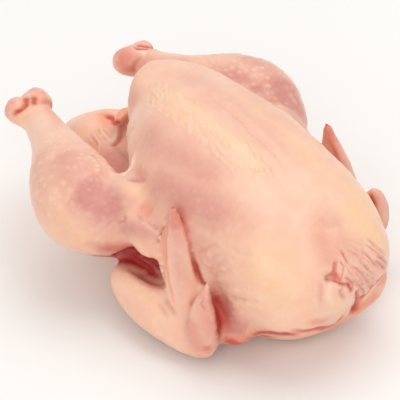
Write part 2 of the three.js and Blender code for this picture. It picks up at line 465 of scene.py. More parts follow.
# %% The skin as a Blender object, with a finer mesh
mesh = bpy.data.meshes.new("skin")
mesh.from_pydata(verts * MM, [], quads.tolist())
skin = bpy.data.objects.new("skin", mesh)
bpy.context.collection.objects.link(skin)
finer = skin.modifiers.new("finer", "SUBSURF")
finer.levels = finer.render_levels = 1
evaluated = skin.evaluated_get(bpy.context.evaluated_depsgraph_get())
skin.data = bpy.data.meshes.new_from_object(evaluated)
skin.modifiers.clear()
print("skin", len(skin.data.vertices), "vertices", len(skin.data.polygons), "faces")

# %% [markdown]
# ## Folds, creases and ridges
# Skin that is drawn over flesh folds. Each fold is a stroke: a curve on the skin that pushes it in or out.
# A sculptor would draw them with a brush. Here each is a few places on the bird, snapped to the nearest
# skin, so that a single fold can be found, moved or taken out by its numbers.
# The same stroke can leave paint, a weight on each vertex that the finish later reads as a colour.


# %% Read and move the vertices
def read(name, width=3):
    """One row of numbers for each vertex of the skin."""
    out = np.empty(len(skin.data.vertices) * width, np.float32)
    skin.data.vertices.foreach_get(name, out)
    return out.reshape(-1, width).astype(float)


def write(points):
    """Moves the vertices of the skin to the points, given in mm."""
    skin.data.vertices.foreach_set("co", (points * MM).astype(np.float32).ravel())
    skin.data.update()


def sample(field, points):
    """The field at any points, between the grid points."""
    place = [(points[:, k] - axes[k][0]) / STEP for k in range(3)]
    first = [np.clip(p.astype(int), 0, n - 2) for p, n in zip(place, field.shape)]
    w = [np.clip(p - f, 0, 1) for p, f in zip(place, first)]
    total = 0
    for i in (0, 1):
        for j in (0, 1):
            for k in (0, 1):
                weight = (w[0] if i else 1 - w[0]) * (w[1] if j else 1 - w[1]) * (w[2] if k else 1 - w[2])
                total = total + weight * field[first[0] + i, first[1] + j, first[2] + k]
    return total


def tree_of(points):
    """A search tree, which finds the nearest of the points quickly."""
    tree = kdtree.KDTree(len(points))
    for number, point in enumerate(points):
        tree.insert(point, number)
    tree.balance()
    return tree


places, normals = read("co") / MM, read("normal")
skin_tree = tree_of(places)
PAINTS = ("flesh", "fat", "orange", "pale", "cut", "red", "blood", "bumpy", "root")
paint = {name: np.zeros(len(places)) for name in PAINTS}
print("smallest and largest place", places.min(0).round(1), places.max(0).round(1))


# %% One stroke
PATH_POINTS = 10  # points of a stroke's curve for each of its places
STROKE_REACH = 2.6  # widths, beyond which a stroke has faded out
END_STRENGTH = 0.35  # of a stroke that tapers
END_RISE = 3.5  # how fast a tapering stroke grows from its ends


def stroke(points, width, height=0.0, even=False, **paints):
    """Pushes the skin height mm out along a curve, fading over width mm, and paints it."""
    t = np.linspace(0, 1, PATH_POINTS * len(points))
    path = curve(points, t) if len(points) > 1 else np.array(points, float)
    found = [skin_tree.find(place) for place in path]
    path = np.array([place for place, number, distance in found])
    facing = normals[[number for place, number, distance in found]]
    reach = STROKE_REACH * width
    near = np.flatnonzero(((places > path.min(0) - reach) & (places < path.max(0) + reach)).all(1))
    away = ((places[near][:, None] - path) ** 2).sum(2)
    at = away.argmin(1)
    weight = np.exp(-away[np.arange(len(near)), at] / width**2)
    weight *= np.clip(1 + 2 * (normals[near] * facing[at]).sum(1), 0, 1)
    if len(points) > 1 and not even:
        ends = np.minimum(at, len(path) - 1 - at) / len(path)
        weight *= np.clip(END_STRENGTH + END_RISE * ends, 0, 1)
    places[near] += normals[near] * (height * weight)[:, None]
    for name, amount in paints.items():
        paint[name][near] = np.maximum(paint[name][near], amount * weight)


def stroke_on(side, points, width, height=0.0, **paints):
    """A stroke on one side of the bird, -1 for the left. Its places are given for the left side."""
    stroke([(x, -side * y, z) for x, y, z in points], width, height, **paints)


def settle(part):
    """Writes the moved places to the mesh, reads the new normals and prints how far the skin moved."""
    global normals
    moved = np.linalg.norm(places - read("co") / MM, axis=1)
    write(places)
    normals = read("normal")
    print(part, "moves", (moved > 0.1).sum(), "vertices, by up to", moved.max().round(1), "mm")


# %% [markdown]
# ## Breast
# The keel bone makes a low ridge from the tail end, with rows of raised feather roots along it.
# Beside it runs a shallow groove, and thin skin lets the pink flesh through.
# A displacement picture could hold all this, but it would be tied to one mesh. Strokes are tied to the bird,
# and wide strokes without height are only paint, which is how flesh and fat show through flat skin.

# %% Breast strokes
keel = [
    (-61, -5, 111), (-43, -8, 114), (-20, -12, 119), (2, -13, 119), (22, -14, 118), (40, -14, 114),
    (56, -13, 109),
]
# The ridge of the keel
stroke(keel, 8, 1.0, fat=0.42)
# The groove on the far side of the keel, and the low ridge beyond it
stroke(
    [(-20, 6, 119), (-3, 5, 119), (11, 4, 118), (28, 2, 116), (41, 2, 113), (58, 0, 107)],
    1.8, -0.9, flesh=0.3,
)
stroke([(-17, 11, 119), (-2, 11, 120), (17, 9, 118), (36, 7, 114), (55, 6, 109)], 3, 0.5)
# Pink flesh that shows through along the keel
stroke([(-56, 14, 115), (-30, 12, 118), (0, 10, 119), (28, 8, 116), (54, 8, 109)], 11, flesh=0.33)
stroke([(-30, 26, 115), (0, 28, 114), (30, 26, 111)], 12, flesh=0.2)
stroke([(-50, 6, 118), (-26, 6, 118), (0, 0, 120), (22, -2, 118), (42, -1, 113)], 7, 0, flesh=0.25)
# The mauve hollow on the near side, and the flesh beside the wing
stroke(
    [(-40, -32, 106), (-21, -40, 107), (3, -41, 109), (24, -39, 109), (45, -39, 105)],
    14, -0.9, flesh=0.6,
)
stroke([(-10, -55, 97), (14, -55, 96), (37, -52, 96), (65, -45, 94)], 15, 0, flesh=0.8)
stroke([(20, -60, 78), (48, -60, 74), (74, -56, 66)], 15, flesh=0.5)
# Fat on the far side, and flesh on the steep tail end
stroke([(-9, 23, 117), (17, 24, 115), (46, 21, 110), (67, 22, 102)], 14, 0.4, fat=0.3)
stroke([(-79, -2, 112), (-78, -8, 100), (-72, -16, 92), (-66, -22, 78)], 9, 0, flesh=0.35)
# Yellow fat over the neck end, with a pink dimple in it
stroke([(90, 16, 92), (97, 21, 86), (107, 23, 78), (112, 26, 66)], 13, 0, fat=0.75)
stroke([(74, 33, 92), (90, 32, 86), (104, 32, 76)], 13, 0, fat=0.6)
stroke([(89, -5, 94), (95, -1, 91), (100, 7, 87)], 9, 0, flesh=0.3)
stroke([(93, -6, 92), (97, -3, 89), (99, 4, 88)], 2.5, -0.6, flesh=0.3)
# Fat on the near shoulder, and the mauve shade behind the thumb
stroke([(78, -49, 85), (97, -47, 73), (108, -45, 60)], 16, 0, fat=0.55)
stroke([(65, -57, 45), (70, -57, 36), (77, -57, 30), (84, -54, 26)], 9, -0.5, flesh=0.9)
settle("the breast")

# %% [markdown]
# ## Short wrinkles
# Where the wing is pushed against the breast, the skin between them creases in short slanting wrinkles.
# Even copies look like a comb, so each is moved, deepened and widened by chance, from a fixed seed.

# %% Short wrinkles on the near side of the breast
wrinkles = (
    [(45, -60, 70), (52, -59, 77), (59, -57, 82)], [(48, -61, 65), (55, -60, 73), (63, -57, 78)],
    [(52, -61, 59), (61, -60, 69), (68, -58, 75)], [(57, -60, 56), (67, -60, 65), (75, -57, 73)],
    [(46, -59, 79), (52, -57, 83), (58, -54, 88)], [(64, -61, 55), (74, -59, 62), (83, -55, 68)],
    [(69, -60, 48), (80, -57, 54), (90, -53, 59)], [(63, -55, 85), (73, -53, 83), (80, -50, 83)],
)
WRINKLE_DRIFT = 1.3  # mm
rng = np.random.default_rng(5)
for wrinkle in wrinkles:
    wrinkle = np.array(wrinkle, float) + rng.normal(0, WRINKLE_DRIFT, (3, 3))
    deep = rng.uniform(0.4, 1.0)
    # Painted shade in the valley of each wrinkle
    stroke(wrinkle, rng.uniform(1.1, 1.8), -1.0 * deep, flesh=0.35 * deep)
    stroke(wrinkle + (1.5, 0, -3.0), rng.uniform(1.6, 2.4), 0.8 * deep, fat=0.3 * deep)
print("wrinkles", len(wrinkles))

# %% [markdown]
# ## Neck end
# The skin over the neck is gathered into a small pit, with folds that run to it like rays,
# and its lower edge is tucked under, so that two lips of skin meet in a red gap with painted shade in it.
# Cloth could be drawn together in a simulation, but gathered skin is thick and wet and holds its folds.
# So each fold is a valley with painted shade in it and a pale ridge beside it, and every valley has two
# fainter twins.

# %% The pit of the neck
# Pink and warm skin round the pit
stroke([(97, -6, 90), (101, -12, 86), (108, -15, 81), (113, -16, 76)], 7, -0.5, flesh=0.4, orange=0.2)
stroke([(104, -9, 83), (109, -1, 79), (116, 9, 72)], 9, flesh=0.4, orange=0.15)
stroke([(116, -4, 73), (120, 4, 64), (119, 14, 54), (112, 24, 42)], 9, flesh=0.4, orange=0.25)
# The pit itself, with a dark slit above it, both darkened with painted shade
stroke([(113, -15, 71), (113, -14, 75), (112, -12, 77)], 1.4, -0.9, red=0.4, flesh=0.8)
stroke([(114, -15, 71), (118, -15, 68)], 2.1, -0.4, even=True, red=0.5, flesh=0.8)

# %% Folds that run to the pit
FOLD_DRIFT = 0.8  # mm
TWIN_STEP = np.array((0, 1.3, 1.8))  # mm from a valley to its twin
RIDGE_STEP = (0, 0.8, 1.8)  # mm from a valley to the ridge beside it
valleys = (
    [(116, -2, 73), (118, 1, 67), (120, 6, 59), (114, 20, 41)], [(115, 2, 74), (118, 5, 69), (120, 8, 63)],
    [(114, 7, 74), (117, 12, 67), (119, 19, 60)], [(112, 15, 76), (114, 20, 69), (116, 25, 60)],
    [(113, -7, 77), (118, -7, 71), (120, -3, 63), (114, 6, 46)],
    [(112, -10, 77), (116, -11, 73), (118, -14, 69)],
    [(119, -11, 69), (121, -7, 63), (113, 6, 45)], [(118, 15, 67), (118, 20, 61), (116, 28, 52)],
    [(120, -1, 62), (120, 2, 54), (112, 13, 36)], [(110, -6, 80), (113, -6, 77), (115, -6, 73)],
    [(111, 0, 78), (114, 4, 74), (118, 6, 70)], [(118, 8, 52), (114, 17, 41)],
)
rng = np.random.default_rng(3)
for valley in valleys:
    for twin in range(3):
        bent = np.array(valley, float) + rng.normal(0, FOLD_DRIFT, (len(valley), 3)) + TWIN_STEP * twin
        deep = rng.uniform(0.5, 1.0) / (1 + 0.5 * twin)
        # Painted shade in each valley
        stroke(bent, rng.uniform(0.8, 1.3), -1.2 * deep, flesh=0.7 * deep, orange=0.6 * deep, red=0.4 * deep)
        stroke(bent + RIDGE_STEP, rng.uniform(0.9, 1.4), 0.8 * deep, pale=0.8 * deep)
print("folds", 3 * len(valleys))

# %% Lips of the neck skin
# The red gap from the pit down to the roll, with painted shade in it
stroke([(115, -17, 67), (119, -15, 66), (120, -10, 64)], 1.1, -0.8, red=0.9, flesh=0.7)
stroke([(121, -10, 64), (120, -7, 58), (113, 2, 48), (110, 9, 36)], 1.3, -0.8, even=True, red=1.0, flesh=0.9)
stroke([(112, 8, 34), (108, 12, 25), (104, 16, 18)], 3.6, -2.2, even=True, red=1.3, orange=0.5)
# The edge of the far lip, and its warm fat
stroke(
    [(112, 33, 47), (115, 24, 46), (116, 20, 45), (114, 16, 41), (112, 13, 36), (107, 13, 29)],
    1.7, -1.0, red=1.1, orange=0.5,
)
stroke([(113, 40, 48), (110, 39, 40), (104, 34, 28)], 4.5, orange=0.45, red=0.2)
stroke([(105, 33, 25), (105, 25, 22), (102, 16, 16)], 5, 0.8, orange=0.6, red=0.2)
# Small folds with painted shade in them, and the pale swelling of the near lip
stroke([(114, -13, 63), (121, -17, 62), (122, -13, 55)], 1.3, -0.6, flesh=0.6, red=0.2)
stroke([(116, -27, 72), (118, -29, 66), (120, -30, 59)], 1.6, -0.7, flesh=0.35)
stroke([(113, -18, 66), (120, -25, 65), (121, -24, 58)], 1.6, 0.7, pale=0.5)
stroke([(121, -22, 60), (120, -14, 50), (113, -4, 32)], 6, 1.0, fat=0.4)
# The red gap under the near lip, with painted shade in it, and the warm roll below it
stroke(
    [(112, -4, 30), (105, -3, 20), (108, -14, 24), (112, -26, 33), (109, -41, 38)],
    2.4, -1.1, red=1.2, blood=0.2, orange=0.6,
)
stroke([(116, -35, 46), (116, -29, 43), (115, -21, 38)], 3.5, -0.4, orange=0.5, red=0.3)
stroke([(104, 10, 14), (102, 2, 10), (107, -20, 20), (107, -38, 30)], 4.5, 0.9, orange=0.6, red=0.2)
# The red line that goes on under the breast to the wing, with painted shade in its crease
stroke(
    [(107, -38, 34), (98, -42, 31), (90, -44, 26), (82, -48, 20)],
    3.3, -1.0, red=1.3, blood=0.35, flesh=0.7,
)
stroke([(98, -44, 30), (90, -46, 25), (82, -50, 19)], 5, red=0.35, orange=0.3)
stroke([(70, -60, 16), (80, -54, 16), (88, -50, 18)], 6, orange=0.6, red=0.5)
settle("the neck end")

# %% [markdown]
# ## Legs
# A mauve patch of thigh muscle shows through the thin skin, with yellow fat round it.
# Where the thigh leaves the breast the skin is loose, and its edge curls up pale over a dark hollow.
# A mirror modifier would give both legs the same skin, but the right one lies higher and has strokes
# of its own. So the shared strokes are written once for the left side, and a helper sets them on either.

# %% Leg strokes
for side in (-1, 1):
    # The mauve patch of muscle, paler down the drumstick, with fat below it
    stroke_on(side, [(-40, -84, 88), (-28, -80, 82), (-20, -78, 78), (-8, -77, 70)], 14, flesh=1.3)
    stroke_on(
        side, [(-66, -78, 90), (-58, -79, 91), (-41, -79, 89), (-29, -75, 82), (-16, -75, 78)],
        17, flesh=0.62,
    )
    stroke_on(side, [(-88, -74, 82), (-70, -88, 84), (-48, -98, 78)], 14, flesh=0.42)
    stroke_on(side, [(-120, -52, 82), (-98, -60, 84)], 12, flesh=0.15, pale=0.4)
    stroke_on(side, [(-66, -96, 72), (-44, -100, 70), (-22, -92, 58)], 11, flesh=0.22)
    stroke_on(side, [(-44, -99, 74), (-36, -100, 67), (-25, -96, 60), (-14, -88, 56)], 9, fat=0.35)
    # Loose pale skin between the thigh and the breast
    stroke_on(side, [(-48, -55, 85), (-36, -58, 84), (-20, -63, 86)], 6, pale=0.35)
    stroke_on(side, [(-19, -64, 86), (-11, -62, 86), (-4, -59, 87)], 5.5, 0.4, fat=0.5)
    # Its curled edge, and painted shade in the hollow that it stands over
    stroke_on(
        side, [(-36, -58, 83), (-30, -57, 85), (-27, -53, 87), (-26, -50, 91), (-29, -46, 96)],
        1.3, 1.7, pale=1.0,
    )
    stroke_on(side, [(-22, -57, 86), (-15, -57, 89), (-7, -56, 92)], 1.6, -1.0, flesh=0.7)
    stroke_on(side, [(-21, -52, 92), (-14, -54, 93), (-5, -54, 96)], 5, -0.6, flesh=0.6)
    # Creases of the skin that hangs from the knee to the wing, with painted shade in them
    stroke_on(side, [(-7, -73, 76), (-5, -75, 73), (-9, -78, 69)], 1.5, -0.8, flesh=0.9)
    stroke_on(
        side, [(0, -69, 78), (4, -68, 75), (11, -66, 73), (16, -64, 69)],
        1.6, -0.8, flesh=0.9, red=0.15,
    )
    stroke_on(side, [(2, -69, 76), (8, -67, 73), (14, -65, 70), (20, -65, 68)], 1.7, 0.9, pale=0.6)
    stroke_on(side, [(-2, -66, 81), (2, -64, 79), (7, -63, 77)], 5, -0.3, orange=0.3, flesh=0.4, red=0.2)
    stroke_on(side, [(-9, -81, 65), (-1, -75, 69), (7, -70, 70), (13, -67, 64)], 7, flesh=0.8)
    # Flesh colour and painted shade below the knee and in the groin
    stroke_on(side, [(-22, -84, 56), (-12, -78, 52), (0, -70, 50), (12, -66, 52)], 6, flesh=0.9, red=0.4)
    stroke_on(
        side, [(-90, -24, 57), (-76, -27, 57), (-62, -30, 62), (-46, -40, 70), (-36, -46, 82)],
        12, flesh=0.75, red=0.12,
    )
    stroke_on(side, [(-70, -27, 58), (-58, -30, 62), (-46, -38, 70)], 7, red=0.3)
print("flesh shows on", round(100 * (paint["flesh"] > 0.3).mean()), "% of the skin so far")

# %% [markdown]
# ## Hocks
# The cut goes through the joint: two rounded ends of pale gristle stand out of the torn skin, with red
# between them. A boolean cut would leave a flat sawn face, but this joint was cut where it bends, between
# the bones. So the knobs stay round, and thin red strokes cut the skin back from them.


# %% One stroke on a hock
def hock_stroke(side, points, width, height=0.0, **paints):
    """A stroke on the hock of one side. The lifted right hock lies nearer the neck end and further out."""
    lift = RIGHT_LEG_LIFT if side > 0 else 0
    stroke_on(side, [(x + lift, y - lift, z) for x, y, z in points], width, height, **paints)


# %% Hock strokes
for side in (-1, 1):
    # The torn edge of the skin, and the red gaps in it
    hock_stroke(
        side, [(-133, -58, 74), (-131, -53, 79), (-129, -48, 82), (-127, -42, 82), (-124, -36, 80)],
        4.5, orange=0.5,
    )
    hock_stroke(side, [(-134, -57, 75), (-132, -54, 78), (-130, -51, 80)], 1.3, -1.5, red=1.0, flesh=0.8)
    hock_stroke(
        side, [(-131, -50, 79), (-133, -47, 80), (-136, -45, 80)],
        1.7, -1.8, even=True, red=1.0, flesh=0.8,
    )
    hock_stroke(side, [(-128, -46, 82), (-131, -42, 81), (-135, -41, 81)], 1.7, -1.6, red=1.0, flesh=0.8)
    hock_stroke(
        side, [(-129, -57, 74), (-126, -53, 79), (-124, -48, 82), (-122, -42, 82)],
        2.0, 0.8, even=True, fat=0.4,
    )
    hock_stroke(side, [(-126, -38, 81), (-127, -33, 78), (-126, -30, 72)], 2.2, -0.9, even=True, flesh=0.9)
    # The two knobs of gristle, with a red gap between them
    hock_stroke(side, [(-138, -56, 78), (-139, -53, 80)], 3.2, 0.9, even=True, cut=0.9)
    hock_stroke(side, [(-143, -56, 74), (-147, -52, 76), (-150, -50, 70)], 5.5, even=True, cut=0.9, red=0.42)
    hock_stroke(side, [(-133, -36, 81), (-137, -35, 81)], 3.6, 0.9, even=True, cut=0.8)
    hock_stroke(side, [(-142, -34, 77), (-148, -34, 72)], 6, even=True, cut=0.9, red=0.36)
    hock_stroke(side, [(-141, -45, 79), (-148, -44, 75), (-150, -44, 66)], 2.4, -1.6, red=0.8, flesh=0.9)
    # Flesh and fat of the thin end of the drumstick
    hock_stroke(
        side, [(-128, -33, 76), (-118, -40, 80), (-105, -46, 83), (-94, -54, 86)],
        5, flesh=0.5, orange=0.3,
    )
    hock_stroke(side, [(-131, -36, 79), (-127, -40, 81), (-120, -44, 82)], 5, orange=0.5, flesh=0.4)
    hock_stroke(side, [(-130, -57, 74), (-125, -57, 72), (-116, -58, 75)], 4, fat=0.6)

# %% Dabs of blood on the cut
DABS = 16
for side in (-1, 1):
    for dab in range(DABS):
        middle = np.array([-140, side * 43, 80]) + rng.uniform((-8, -13, -6), (8, 13, 2))
        stroke([middle], rng.uniform(0.9, 2.0), rng.uniform(-0.7, 0.5), even=True, red=rng.uniform(0.2, 0.6))
print("dabs on each hock", DABS)

# %% Strokes that only the right leg has
# Flesh along the breast, and the redder skin round the hock
stroke([(-65, 60, 93), (-50, 61, 92), (-35, 64, 87), (-22, 63, 86)], 9, flesh=0.8, red=0.08)
stroke([(-28, 65, 85), (-19, 64, 86)], 3.5, red=0.45)
stroke([(-137, 31, 80), (-133, 33, 79), (-128, 33, 75), (-124, 34, 70)], 8, flesh=0.35, red=0.38)
stroke([(-127, 43, 83), (-123, 43, 83)], 3.5, 0.5, even=True, pale=0.9)
settle("the legs")

# %% [markdown]
# ## Tail and vent
# The tail is soft orange fat. Above it the vent opens as a dark gap between two curls of skin.
# The hollow of the vent is in the field already. Strokes add what is thinner than a grid step: the curled
# edge of the skin and the creases that run from it over the fat, each a valley with painted shade and a
# ridge beside it.

# %% Tail strokes
# Warm fat all over the tail, and the dark gap of the vent, raw red with painted shade
stroke(
    [(-145, -2, 36), (-127, -13, 50), (-120, -8, 55), (-108, -6, 55)],
    18, orange=0.35, fat=0.4, pale=0.35,
)
stroke([(-116, 3, 55), (-110, 5, 54), (-104, 4, 54)], 1.9, -1.8, red=1.2, orange=1.0)
stroke([(-121, 3, 55), (-114, 0, 55), (-106, -2, 55)], 5, orange=1.0, red=0.1)
stroke([(-102, 5, 67), (-99, 2, 69), (-95, -3, 67)], 6, orange=0.8, red=0.15)
stroke([(-98, -2, 62), (-95, -4, 64)], 2.2, even=True, red=0.8, blood=0.6)
# The curled edge of skin under the vent, and painted shade under it
stroke([(-103, 4, 56), (-96, -3, 54), (-92, -9, 55), (-89, -14, 56)], 1.5, 1.6, pale=0.9)
stroke([(-98, 2, 55), (-92, -5, 54), (-88, -12, 55), (-86, -17, 56)], 1.6, -0.8, red=0.5, flesh=0.6)

# %% Creases over the fat of the tail
CREASES = 6
CREASE_STEP = 2.8  # mm from one to the next
CREASE_DRIFT = 0.9  # mm
for number in range(CREASES):
    y = -8 - CREASE_STEP * number
    crease = np.array([(-109 + number, y, 55), (-101 + number, y - 3, 56), (-92, y - 5, 57)], float)
    crease += rng.normal(0, CREASE_DRIFT, (3, 3))
    # Painted shade in the valley of each crease
    stroke(crease, 1.2, -0.8, orange=0.5, red=0.12)
    stroke(crease + (1, 1.5, 0), 1.4, 0.7, pale=0.5)
stroke([(-138, -18, 38), (-130, -19, 45), (-122, -17, 51)], 7, orange=0.6, red=0.3)
print("orange fat shows on", round(100 * (paint["orange"] > 0.3).mean(), 1), "% of the skin so far")

# %% [markdown]
# ## Wings
# Thin skin over bone and blood vessels makes the wings pinker than the body, and red at the tips.
# Behind the hand the wing is hollow, with raw red flesh in its shadow.
# The hollow could be left to its own shade, but that only goes brown, and raw flesh goes redder, so its
# shade is painted in dark red.

# %% Wing strokes
WEB_TEETH = 17
for side in (-1, 1):
    # Raw red flesh in the hollow behind the hand, and painted shade in dark red
    stroke_on(
        side, [(-26, -77, 41), (-16, -69, 41), (-4, -63, 42), (8, -61, 42), (20, -62, 42)],
        6.5, blood=1.3, flesh=1.0,
    )
    stroke_on(side, [(-27, -80, 40), (-21, -77, 38), (-14, -73, 37)], 2.2, -0.8, even=True, red=1.0)
    stroke_on(
        side, [(-16, -72, 37), (-8, -67, 37), (2, -65, 37), (16, -65, 36)],
        4, -1.2, blood=1.2, flesh=1.0,
    )
    stroke_on(side, [(-9, -65, 40), (-1, -63, 38), (10, -63, 37)], 1.8, 2.0, blood=0.6)
    stroke_on(side, [(0, -70, 37), (12, -72, 37), (24, -74, 37)], 4.5, flesh=1.0, blood=0.25)
    # The lip of the forearm, and the creases of its skin, with painted shade in them
    stroke_on(side, [(-4, -76, 36), (9, -76, 37), (20, -77, 38), (28, -76, 38)], 2.4, 0.7, flesh=0.5)
    stroke_on(side, [(33, -77, 36), (38, -78, 34), (44, -78, 31)], 1.3, -0.8, flesh=0.5)
    stroke_on(side, [(30, -79, 33), (36, -80, 31), (40, -80, 28)], 1.3, -0.6, flesh=0.4)
    stroke_on(side, [(-1, -79, 35), (16, -81, 35), (29, -81, 33), (39, -79, 30)], 5, fat=0.35)
    # The blade of the hand, with warm edges and a red tip
    stroke_on(side, [(29, -64, 92), (34, -67, 80), (39, -70, 65), (45, -73, 46)], 5, 0.5, flesh=0.5)
    stroke_on(
        side, [(24, -65, 90), (27, -68, 76), (31, -72, 61), (36, -74, 47), (42, -76, 35)],
        1.4, -0.6, orange=0.5, red=0.25,
    )
    stroke_on(side, [(24, -66, 86), (22, -67, 73), (25, -70, 60), (31, -74, 50)], 4, orange=0.55, red=0.15)
    # The gap between the blade and the breast, with painted shade in it
    stroke_on(
        side, [(29, -59, 85), (37, -61, 78), (42, -62, 67), (45, -61, 55), (49, -62, 49)],
        1.0, -0.6, orange=0.4, red=0.6,
    )
    stroke_on(side, [(32, -64, 87), (37, -64, 77), (42, -65, 65), (46, -65, 52)], 1.6, 0.5, pale=0.2)
    stroke_on(
        side, [(42, -62, 67), (45, -61, 58), (49, -60, 52), (54, -61, 50)],
        1.5, -0.4, blood=0.8, red=0.6, flesh=1.0,
    )
    stroke_on(side, [(24, -60, 96), (28, -63, 91), (33, -66, 81)], 5, flesh=0.5, orange=0.1, red=0.5)
    stroke_on(side, [(25.5, -62, 98)], 1.8, even=True, red=1.0)
    # The thumb and the wrist
    stroke_on(side, [(63, -72, 52), (64, -74, 49), (67, -73, 45)], 1.0, -0.6, red=0.4, flesh=0.8)
    stroke_on(side, [(60, -70, 58), (63, -70, 55), (62, -74, 50)], 4, red=0.25)
    stroke_on(
        side, [(62, -71, 58), (64, -72, 51), (69, -74, 40), (71, -75, 22)],
        8, flesh=0.38, pale=0.2, red=0.3,
    )
    stroke_on(side, [(59, -80, 40), (62, -82, 32), (66, -80, 22), (68, -78, 12)], 9, flesh=0.42, red=0.3)
    stroke_on(side, [(70, -76, 22), (69, -74, 16)], 3.5, red=0.6)
    stroke_on(side, [(53, -77, 31), (60, -80, 34)], 2.5, red=0.3)
    stroke_on(side, [(50, -68, 41), (53, -75, 38), (57, -80, 34)], 1.4, -0.8, flesh=0.9)
    # The raw gap between the thumb and the breast, with painted shade in it
    stroke_on(
        side, [(63, -66, 57), (64, -66, 50), (67, -65, 42), (70, -66, 33), (72, -66, 24)],
        4, -0.8, blood=1.4, flesh=1.0,
    )
    stroke_on(
        side, [(58, -61, 46), (61, -60, 41), (65, -60, 34), (70, -63, 25)],
        4.5, blood=0.25, red=1.0, flesh=0.9,
    )
    stroke_on(side, [(66, -59, 50), (69, -60, 40), (73, -61, 30), (77, -60, 22)], 5, flesh=1.0, red=0.15)
    stroke_on(side, [(71, -64, 19), (76, -58, 16), (80, -48, 11), (80, -35, 8)], 4, red=1.2, flesh=0.8)
    # The edge of the web, with a row of small teeth where the quills were
    web = np.array([(17, -62, 78), (17, -66, 66), (21, -70, 56), (25, -72, 46), (31, -75, 39)], float)
    web[:, 1] *= -side
    for tooth in range(WEB_TEETH):
        middle = curve(web, np.array([tooth / (WEB_TEETH - 1)]))
        stroke(middle, 1.4, 1.2 if tooth % 2 else -0.9, even=True, pale=0.4)

# %% Strokes that only the right wing has
# The back of the hand, and the bend of the wrist
stroke([(31, 67, 90), (33, 67, 84), (37, 68, 76), (43, 70, 66)], 7, orange=0.5, pale=0.4)
stroke([(28, 63, 92), (31, 63, 85), (34, 63, 79), (38, 64, 73), (42, 65, 66)], 3, red=0.5)
stroke([(61, 69, 58), (64, 68, 55), (68, 67, 48), (72, 68, 40)], 2.5, -0.4, orange=0.6, red=0.75)
stroke([(62, 73, 58), (68, 72, 55), (72, 72, 48), (74, 76, 38)], 5, pale=0.6, fat=0.4)
settle("the wings")

# %% [markdown]
# ## Uneven skin
# No stretch of skin is smooth: it swells over the flesh in soft lumps a centimetre or so wide.
# A bump in the finish would not change the outline, so the vertices themselves move, by Perlin noise.
# Strokes can't be everywhere, so deep places also get painted shade by themselves: from each vertex a step
# is taken outwards, and where the field doesn't grow by as much, other skin is near and the place is a fold.

# %% Lumps
LUMPS = ((15, 0.6), (6, 0.25))  # width and height of each kind, in mm
lump = np.array([sum(noise.noise(Vector(p / wide)) * high for wide, high in LUMPS) for p in places])
places += normals * lump[:, None]
settle("uneven skin")

# %% How deep in a fold each place lies
LOOK_OUT = (2.5, 5)  # mm, the steps outwards
SHALLOW = 0.25  # the part of a fold that doesn't count
# Painted shade: the more closed in a place is, the more of the shade colour of folds it gets
fold = np.zeros(len(places))
for reach in LOOK_OUT:
    closed = 1 - sample(body, places + normals * reach) / reach
    fold += 0.5 * np.clip(closed - SHALLOW, 0, 1 - SHALLOW) / (1 - SHALLOW)
print("share of the skin in folds", round((fold > 0.5).mean(), 3))

# %% [markdown]
# ## Goose bumps
# Each plucked feather leaves a raised root, 3 to 4 mm from the next. They stand highest on the legs.
# A Voronoi texture gives such bumps in one node, but all alike, and only in the shading. Here the roots are
# places picked by chance, none too near to another, and each raises the skin by its own height.
# Real roots are 1 to 2 mm wide. They are drawn about twice as wide, so that they show.

# %% Where the bumps are high
for side in (-1, 1):
    stroke(
        [(-92, side * 60, 84), (-70, side * 70, 91), (-48, side * 66, 89), (-26, side * 66, 86)],
        15, bumpy=1.0,
    )
    stroke([(-80, side * 88, 80), (-56, side * 96, 76), (-34, side * 94, 70)], 22, bumpy=0.75)
    stroke([(40, side * 61, 70), (70, side * 56, 60), (95, side * 48, 50)], 22, bumpy=0.6)
    stroke([(10, side * 84, 30), (40, side * 84, 24)], 14, bumpy=0.25)
stroke([(-50, 65, 95), (-30, 72, 90), (-15, 74, 80)], 22, bumpy=1.0)
print("high bumps on", round(100 * (paint["bumpy"] > 0.3).mean()), "% of the skin")

# %% Places of the feather roots
SPACING = 3.7  # mm between roots
TRIES = 24000  # places that are tried, more than there is room for
rng = np.random.default_rng(7)
tries = rng.choice(len(places), TRIES, replace=False)
free = np.ones(len(tries), bool)
tries_tree = tree_of(places[tries])
roots = []
for number in range(len(tries)):
    if free[number]:
        roots.append(tries[number])
        reach = SPACING * rng.uniform(0.75, 1.4)
        for place, other, distance in tries_tree.find_range(places[tries[number]], reach):
            free[other] = False
print("feather roots", len(roots))

# %% Bumps of the feather roots
WANDER_SCALE, WANDER = 2.6, 0.75  # mm, which make the bumps less round
LOWEST_ROOT, MORE_ROOT = 0.15, 0.9  # mm high on flat skin, and more where the bumps are high
noise.seed_set(7)  # without a seed the vector noise starts from the clock, and no two runs are alike
wander = np.array([list(noise.noise_vector(Vector(p / WANDER_SCALE))) for p in places]) * WANDER
root_size = rng.uniform(0.15, 1.0, len(roots))
root_wide = rng.uniform(1.0, 2.2, len(roots))
root_tree = tree_of(places[roots])
found = [root_tree.find(place) for place in places + wander]
bump = np.array([root_size[n] * math.exp(-((distance / root_wide[n]) ** 2)) for place, n, distance in found])
open_skin = np.clip(1 - 1.3 * fold, 0, 1) * (1 - np.clip(paint["cut"], 0, 1))
high = (LOWEST_ROOT + MORE_ROOT * paint["bumpy"]) * open_skin
places += normals * (bump * high)[:, None]
clean = np.clip(1 - paint["blood"] - paint["red"] - fold, 0, 1)
paint["root"] = bump * np.clip(0.22 + paint["bumpy"], 0, 1) * clean
print("highest root", (bump * high).max().round(2), "mm")

# %% [markdown]
# ## Feather roots of the keel
# Along the keel the roots are long and slant to the tail, in rows: three on the ridge and two fainter ones
# beside it. They could be more of the same bumps, but those are round. So each is a short slanting stroke
# with a small shade beside it, and the rows fade at both ends, where the real feathers grow thinner.

